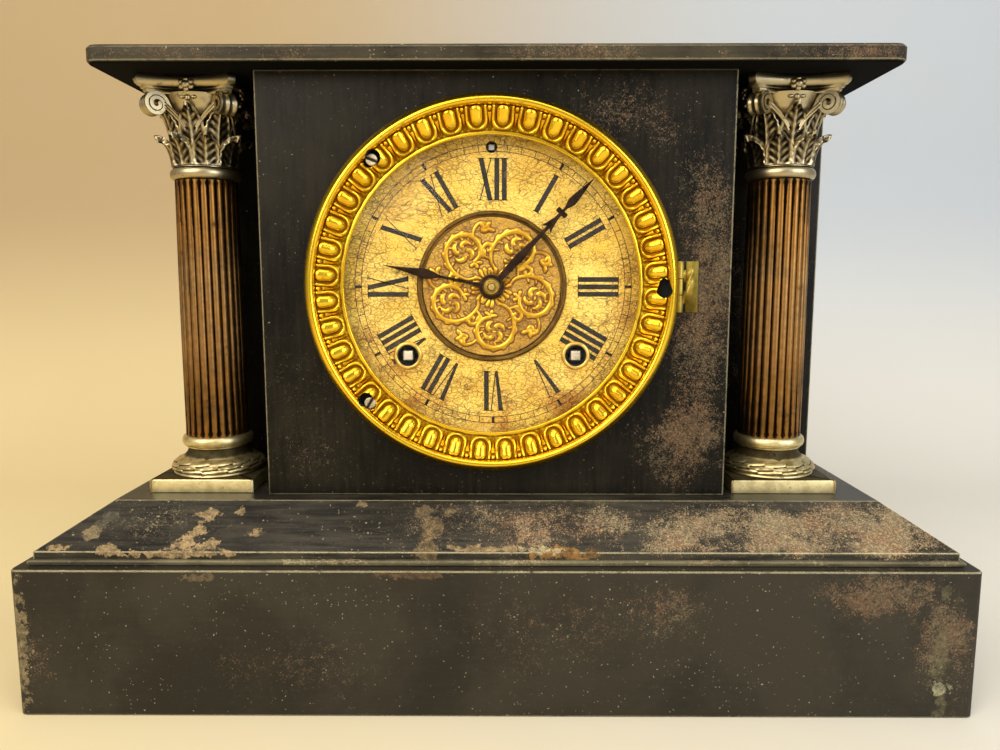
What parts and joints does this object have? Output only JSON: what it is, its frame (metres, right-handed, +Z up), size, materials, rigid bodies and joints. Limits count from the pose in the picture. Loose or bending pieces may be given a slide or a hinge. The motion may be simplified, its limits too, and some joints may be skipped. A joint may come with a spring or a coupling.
{
  "type": "mantel clock",
  "caption": "Cast iron mantel clock with stepped base, fluted columns with leafy capitals, gilt egg-and-dart bezel on a side hinge, paper dial and a striking pendulum movement",
  "frame": {"origin": "centre of the base footprint, on the table", "axes": "X to the right seen from the front, Y to the back, Z up; the dial faces -Y"},
  "size_m": [0.406, 0.165, 0.2826],
  "materials": {
    "black_iron": "black japanned, worn satin",
    "rough_iron": "rough cast",
    "gilt": "bright gilt",
    "antique_brass": "dull antique brass",
    "copper_bronze": "copper bronze, dark in the flutes",
    "dial_paper": "aged crackled paper on sheet metal",
    "glass": "clear",
    "blued_steel": "browned",
    "japanned_tin": "black japanned sheet",
    "steel": "satin",
    "brass": "satin brass"
  },
  "bodies": {
    "case": {"base_casting": "black_iron", "stepped_plinth": "black_iron", "front_casting": "black_iron", "top_slab": "black_iron", "back_sheet": "japanned_tin", "back_door_pin": "steel", "dial": "dial_paper", "dial_centre": "gilt", "dial_centre_ring": "brass", "case_hinge_leaf": "brass", "bezel_hinge_pin": "brass", "movement_front_plate": "brass", "movement_back_plate": "brass", "suspension_cock": "brass", "gong_coil": "steel", "gong_stand": "rough_iron", "left_side_casting": "black_iron", "right_side_casting": "black_iron", "left_column_base": "antique_brass", "right_column_base": "antique_brass", "left_column_shaft": "copper_bronze", "right_column_shaft": "copper_bronze", "left_capital": "antique_brass", "right_capital": "antique_brass", "left_tie_rod": "steel", "right_tie_rod": "steel", "left_rod_nut": "steel", "right_rod_nut": "steel", "left_eyelet": "brass", "right_eyelet": "brass", "time_mainspring": "steel", "strike_mainspring": "steel"},
    "bezel": {"sash_frame": "brass", "bezel_glass": "glass", "bezel_ring": "gilt", "upper_bezel_screw": "steel", "lower_bezel_screw": "steel"},
    "back_door": {"back_door": "japanned_tin", "back_door_knob": "brass"},
    "minute": {"minute_arbor": "steel", "minute_hand": "blued_steel", "hand_nut": "brass"},
    "minute_wheel": {"minute_wheel": "brass"},
    "hour": {"hour_wheel": "brass", "hour_hand": "blued_steel"},
    "time_winding": {"time_winding_arbor": "steel"},
    "strike_winding": {"strike_winding_arbor": "steel"},
    "third_wheel": {"third_wheel": "brass"},
    "centre_wheel": {"centre_wheel": "brass"},
    "second_wheel": {"second_wheel": "brass"},
    "time_great_wheel": {"time_great_wheel": "brass"},
    "escape_wheel": {"escape_wheel": "brass"},
    "pendulum": {"pendulum_rod": "steel", "pendulum_bob": "brass"},
    "verge": {"verge": "steel"},
    "regulator": {"regulator_arbor": "steel"},
    "lifting_wheel": {"lifting_wheel": "brass"},
    "strike_great_wheel": {"strike_great_wheel": "brass"},
    "fly": {"fly": "brass"},
    "hammer": {"strike_hammer": "steel"}
  },
  "joints": [
    {"name": "bezel_hinge", "type": "hinge", "parent": "case", "child": "bezel", "pos_m": [0.0818, -0.0448, 0.1814], "axis": [0, 0, 1], "range_deg": [0, 100]},
    {"name": "back_door_hinge", "type": "hinge", "parent": "case", "child": "back_door", "pos_m": [-0.0631, 0.0813, 0.1814], "axis": [0, 0, 1], "range_deg": [0, 110]},
    {"name": "minute_turn", "type": "hinge", "parent": "case", "child": "minute", "pos_m": [-0.0018, 0, 0.1814], "axis": [0, 1, 0], "continuous": true},
    {"name": "minute_wheel_turn", "type": "hinge", "parent": "case", "child": "minute_wheel", "pos_m": [-0.01834, 0, 0.17538], "axis": [0, 1, 0], "continuous": true},
    {"name": "hour_turn", "type": "hinge", "parent": "case", "child": "hour", "pos_m": [-0.0018, 0, 0.1814], "axis": [0, 1, 0], "continuous": true},
    {"name": "time_winding", "type": "hinge", "parent": "case", "child": "time_winding", "pos_m": [0.0365, 0, 0.1502], "axis": [0, 1, 0], "continuous": true},
    {"name": "strike_winding", "type": "hinge", "parent": "case", "child": "strike_winding", "pos_m": [-0.0401, 0, 0.1502], "axis": [0, 1, 0], "continuous": true},
    {"name": "third_turn", "type": "hinge", "parent": "case", "child": "third_wheel", "pos_m": [-0.01625, 0, 0.20204], "axis": [0, 1, 0], "continuous": true},
    {"name": "centre_turn", "type": "hinge", "parent": "case", "child": "centre_wheel", "pos_m": [-0.0018, 0, 0.1814], "axis": [0, 1, 0], "continuous": true},
    {"name": "second_turn", "type": "hinge", "parent": "case", "child": "second_wheel", "pos_m": [0.02445, 0, 0.18156], "axis": [0, 1, 0], "continuous": true},
    {"name": "time_great_turn", "type": "hinge", "parent": "case", "child": "time_great_wheel", "pos_m": [0.0365, 0, 0.1502], "axis": [0, 1, 0], "continuous": true},
    {"name": "escape_turn", "type": "hinge", "parent": "case", "child": "escape_wheel", "pos_m": [-0.0018, 0, 0.21809], "axis": [0, 1, 0], "continuous": true},
    {"name": "pendulum_swing", "type": "hinge", "parent": "case", "child": "pendulum", "pos_m": [-0.0018, 0, 0.23559], "axis": [0, 1, 0], "range_deg": [-4, 4]},
    {"name": "verge_swing", "type": "hinge", "parent": "case", "child": "verge", "pos_m": [-0.0018, 0, 0.23559], "axis": [0, 1, 0], "range_deg": [-4, 4]},
    {"name": "regulator_turn", "type": "hinge", "parent": "case", "child": "regulator", "pos_m": [-0.0018, 0, 0.2429], "axis": [0, 1, 0], "continuous": true},
    {"name": "lifting_turn", "type": "hinge", "parent": "case", "child": "lifting_wheel", "pos_m": [-0.02805, 0, 0.18156], "axis": [0, 1, 0], "continuous": true},
    {"name": "strike_great_turn", "type": "hinge", "parent": "case", "child": "strike_great_wheel", "pos_m": [-0.0401, 0, 0.1502], "axis": [0, 1, 0], "continuous": true},
    {"name": "fly_turn", "type": "hinge", "parent": "case", "child": "fly", "pos_m": [-0.03988, 0, 0.20381], "axis": [0, 1, 0], "continuous": true},
    {"name": "hammer_lift", "type": "hinge", "parent": "case", "child": "hammer", "pos_m": [-0.0538, 0, 0.2014], "axis": [0, 1, 0], "range_deg": [0, 14]}
  ],
  "couplings": [
    {"joint": "minute_wheel_turn", "follows": "minute_turn", "ratio": -0.33333},
    {"joint": "hour_turn", "follows": "minute_turn", "ratio": 0.083333},
    {"joint": "centre_turn", "follows": "third_turn", "ratio": -0.090909},
    {"joint": "second_turn", "follows": "third_turn", "ratio": 0.022727},
    {"joint": "time_great_turn", "follows": "third_turn", "ratio": -0.0045455},
    {"joint": "escape_turn", "follows": "third_turn", "ratio": -11},
    {"joint": "verge_swing", "follows": "pendulum_swing", "ratio": 1},
    {"joint": "strike_great_turn", "follows": "lifting_turn", "ratio": -0.2},
    {"joint": "fly_turn", "follows": "lifting_turn", "ratio": -5}
  ]
}
